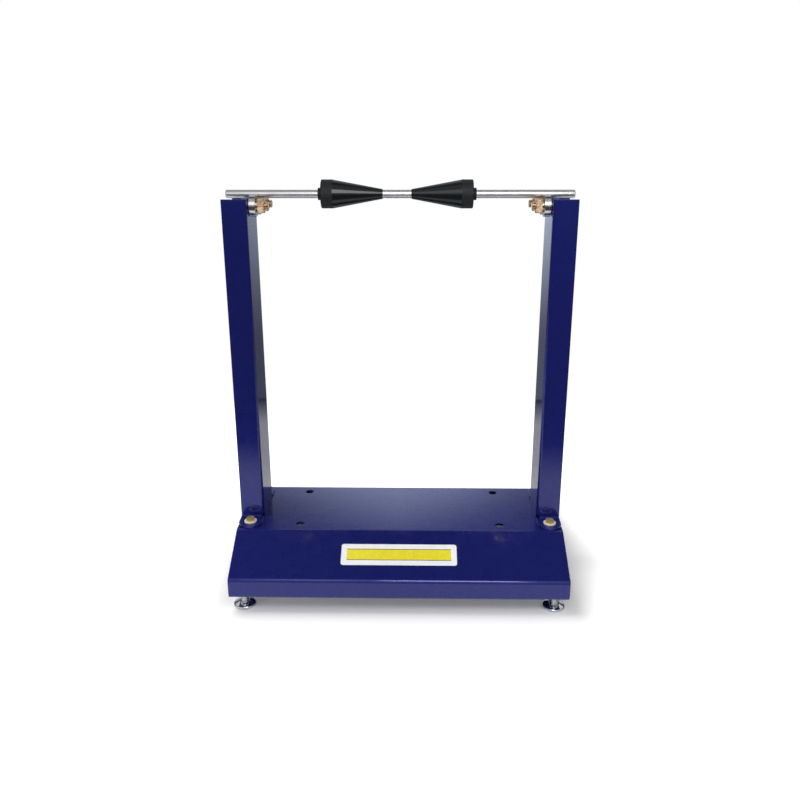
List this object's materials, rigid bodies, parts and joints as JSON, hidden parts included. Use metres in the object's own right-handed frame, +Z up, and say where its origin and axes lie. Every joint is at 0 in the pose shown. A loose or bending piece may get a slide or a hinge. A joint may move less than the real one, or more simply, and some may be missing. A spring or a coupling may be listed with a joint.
{
  "type": "wheel balancing stand",
  "caption": "Static wheel balancing stand: bent sheet base on levelling feet, two channel uprights, and a shaft with clamping cones that turns in cradles of ball bearings.",
  "frame": {"origin": "on the floor, midway between the four feet", "axes": "+X to the right along the shaft, +Y to the back, +Z up"},
  "size_m": [0.42, 0.268, 0.5149],
  "materials": {
    "blue_paint": "glossy powder coat",
    "yellow_zinc": "yellow zinc plating",
    "bearing_steel": "ground and polished",
    "shield_steel": "pressed sheet",
    "polished_steel": "polished along its length",
    "black_anodised": "satin black",
    "black_steel": "black oxide",
    "bright_zinc": "bright plating",
    "label_film": "printed film"
  },
  "bodies": {
    "frame": {"base_sheet": "blue_paint", "left_upright": "blue_paint", "right_upright": "blue_paint", "front_label": "label_film", "tab_bolts": "yellow_zinc", "tab_washers": "yellow_zinc", "tab_nuts": "yellow_zinc", "bearing_bolts": "yellow_zinc", "bearing_spacers": "yellow_zinc", "bearing_inner_rings": "bearing_steel", "bearing_washers": "yellow_zinc", "bearing_nuts": "yellow_zinc", "foot_upper_nuts": "bright_zinc", "foot_lower_nuts": "bright_zinc"},
    "shaft": {"shaft": "polished_steel"},
    "left_cone": {"left_cone": "black_anodised", "left_set_screw": "black_steel"},
    "right_cone": {"right_cone": "black_anodised", "right_set_screw": "black_steel"},
    "front_left_bearing": {"front_left_outer_ring": "bearing_steel", "front_left_shields": "shield_steel"},
    "front_left_ball_cage": {"front_left_cage": "shield_steel", "front_left_balls": "bearing_steel"},
    "front_left_foot": {"front_left_foot_pad": "bright_zinc", "front_left_foot_stem": "bright_zinc"},
    "front_right_bearing": {"front_right_outer_ring": "bearing_steel", "front_right_shields": "shield_steel"},
    "front_right_ball_cage": {"front_right_cage": "shield_steel", "front_right_balls": "bearing_steel"},
    "front_right_foot": {"front_right_foot_pad": "bright_zinc", "front_right_foot_stem": "bright_zinc"},
    "rear_left_bearing": {"rear_left_outer_ring": "bearing_steel", "rear_left_shields": "shield_steel"},
    "rear_left_ball_cage": {"rear_left_cage": "shield_steel", "rear_left_balls": "bearing_steel"},
    "rear_left_foot": {"rear_left_foot_pad": "bright_zinc", "rear_left_foot_stem": "bright_zinc"},
    "rear_right_bearing": {"rear_right_outer_ring": "bearing_steel", "rear_right_shields": "shield_steel"},
    "rear_right_ball_cage": {"rear_right_cage": "shield_steel", "rear_right_balls": "bearing_steel"},
    "rear_right_foot": {"rear_right_foot_pad": "bright_zinc", "rear_right_foot_stem": "bright_zinc"}
  },
  "joints": [
    {"name": "shaft_spin", "type": "hinge", "parent": "frame", "child": "shaft", "pos_m": [0, 0, 0.49788], "axis": [1, 0, 0], "continuous": true},
    {"name": "left_cone_slide", "type": "slide", "parent": "shaft", "child": "left_cone", "axis": [1, 0, 0], "range_m": [-0.055, 0.015]},
    {"name": "right_cone_slide", "type": "slide", "parent": "shaft", "child": "right_cone", "axis": [1, 0, 0], "range_m": [-0.0085, 0.0615]},
    {"name": "front_left_bearing_spin", "type": "hinge", "parent": "frame", "child": "front_left_bearing", "pos_m": [-0.175, -0.01325, 0.4854], "axis": [1, 0, 0], "continuous": true},
    {"name": "front_left_ball_cage_spin", "type": "hinge", "parent": "frame", "child": "front_left_ball_cage", "pos_m": [-0.175, -0.01325, 0.4854], "axis": [1, 0, 0], "continuous": true},
    {"name": "front_left_foot_screw", "type": "slide", "parent": "frame", "child": "front_left_foot", "axis": [0, 0, -1], "range_m": [0, 0.012]},
    {"name": "front_right_bearing_spin", "type": "hinge", "parent": "frame", "child": "front_right_bearing", "pos_m": [0.175, -0.01325, 0.4854], "axis": [1, 0, 0], "continuous": true},
    {"name": "front_right_ball_cage_spin", "type": "hinge", "parent": "frame", "child": "front_right_ball_cage", "pos_m": [0.175, -0.01325, 0.4854], "axis": [1, 0, 0], "continuous": true},
    {"name": "front_right_foot_screw", "type": "slide", "parent": "frame", "child": "front_right_foot", "axis": [0, 0, -1], "range_m": [0, 0.012]},
    {"name": "rear_left_bearing_spin", "type": "hinge", "parent": "frame", "child": "rear_left_bearing", "pos_m": [-0.175, 0.01325, 0.4854], "axis": [1, 0, 0], "continuous": true},
    {"name": "rear_left_ball_cage_spin", "type": "hinge", "parent": "frame", "child": "rear_left_ball_cage", "pos_m": [-0.175, 0.01325, 0.4854], "axis": [1, 0, 0], "continuous": true},
    {"name": "rear_left_foot_screw", "type": "slide", "parent": "frame", "child": "rear_left_foot", "axis": [0, 0, -1], "range_m": [0, 0.012]},
    {"name": "rear_right_bearing_spin", "type": "hinge", "parent": "frame", "child": "rear_right_bearing", "pos_m": [0.175, 0.01325, 0.4854], "axis": [1, 0, 0], "continuous": true},
    {"name": "rear_right_ball_cage_spin", "type": "hinge", "parent": "frame", "child": "rear_right_ball_cage", "pos_m": [0.175, 0.01325, 0.4854], "axis": [1, 0, 0], "continuous": true},
    {"name": "rear_right_foot_screw", "type": "slide", "parent": "frame", "child": "rear_right_foot", "axis": [0, 0, -1], "range_m": [0, 0.012]}
  ],
  "couplings": [
    {"joint": "front_left_bearing_spin", "follows": "shaft_spin", "ratio": -0.38462},
    {"joint": "front_left_ball_cage_spin", "follows": "shaft_spin", "ratio": -0.24359},
    {"joint": "front_right_bearing_spin", "follows": "shaft_spin", "ratio": -0.38462},
    {"joint": "front_right_ball_cage_spin", "follows": "shaft_spin", "ratio": -0.24359},
    {"joint": "rear_left_bearing_spin", "follows": "shaft_spin", "ratio": -0.38462},
    {"joint": "rear_left_ball_cage_spin", "follows": "shaft_spin", "ratio": -0.24359},
    {"joint": "rear_right_bearing_spin", "follows": "shaft_spin", "ratio": -0.38462},
    {"joint": "rear_right_ball_cage_spin", "follows": "shaft_spin", "ratio": -0.24359}
  ]
}
